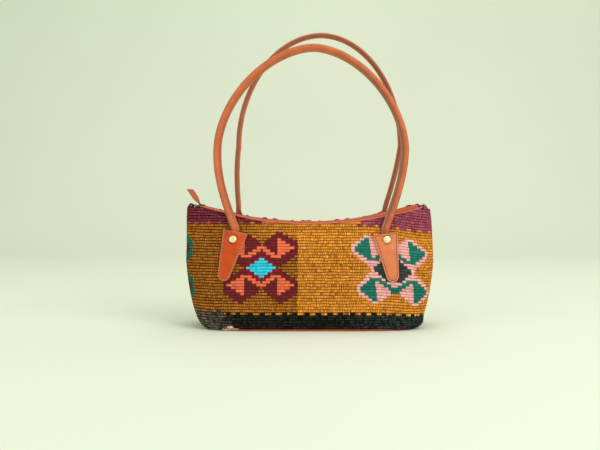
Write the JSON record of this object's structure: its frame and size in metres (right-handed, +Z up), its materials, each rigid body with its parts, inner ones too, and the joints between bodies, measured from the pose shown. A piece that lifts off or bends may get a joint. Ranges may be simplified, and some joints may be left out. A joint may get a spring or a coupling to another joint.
{
  "type": "kilim baguette bag",
  "caption": "Boat-shaped flat-weave kilim handbag on a flat leather base, with a curved top zip, riveted leather tabs and rolled leather shoulder handles.",
  "frame": {"origin": "middle of the underside of the base", "axes": "+Z up through the handles, +Y towards the back, +X to the right seen from the front"},
  "size_m": [0.3188, 0.0914, 0.3786],
  "materials": {
    "kilim": "ribbed wool flat-weave",
    "rust_leather": "smooth satin",
    "tab_leather": "smooth satin",
    "base_leather": "smooth satin",
    "lining": "plain cotton",
    "board": "fibreboard",
    "zip_tape": "herringbone tape",
    "brass": "polished",
    "gunmetal": "dark plated"
  },
  "bodies": {
    "bag": {"kilim_front_panel": "kilim", "kilim_back_panel": "kilim", "zip_facing_front": "rust_leather", "zip_facing_back": "rust_leather", "zip_tape_front": "zip_tape", "zip_tape_back": "zip_tape", "zip_teeth_front": "brass", "zip_teeth_back": "brass", "leather_base": "base_leather", "base_board": "board", "lining": "lining", "zip_top_stop": "brass", "zip_bottom_stop": "brass", "tab_front_left": "tab_leather", "tongue_front_left": "rust_leather", "rivet_front_left": "brass", "burr_front_left": "brass", "tab_front_right": "tab_leather", "tongue_front_right": "rust_leather", "rivet_front_right": "brass", "burr_front_right": "brass", "tab_back_left": "tab_leather", "tongue_back_left": "rust_leather", "rivet_back_left": "brass", "burr_back_left": "brass", "tab_back_right": "tab_leather", "tongue_back_right": "rust_leather", "rivet_back_right": "brass", "burr_back_right": "brass"},
    "front_handle_loop": {"front_handle": "rust_leather"},
    "back_handle_loop": {"back_handle": "rust_leather"},
    "slider": {"zip_slider": "gunmetal"},
    "pull": {"zip_pull_ring": "gunmetal", "zip_pull": "rust_leather"}
  },
  "joints": [
    {"name": "front_handle_swing", "type": "hinge", "parent": "bag", "child": "front_handle_loop", "pos_m": [0, -0.02219, 0.1271], "axis": [1, 0, 0], "range_deg": [0, 100]},
    {"name": "back_handle_swing", "type": "hinge", "parent": "bag", "child": "back_handle_loop", "pos_m": [0, 0.02231, 0.1271], "axis": [-1, 0, 0], "range_deg": [0, 100]},
    {"name": "zip_slide", "type": "hinge", "parent": "bag", "child": "slider", "pos_m": [0, 0, 0.63069], "axis": [0, -1, 0], "range_deg": [0, 33.1]},
    {"name": "pull_swing", "type": "hinge", "parent": "slider", "child": "pull", "pos_m": [-0.14149, 0, 0.15547], "axis": [0, 1, 0], "range_deg": [-22, 125]}
  ]
}
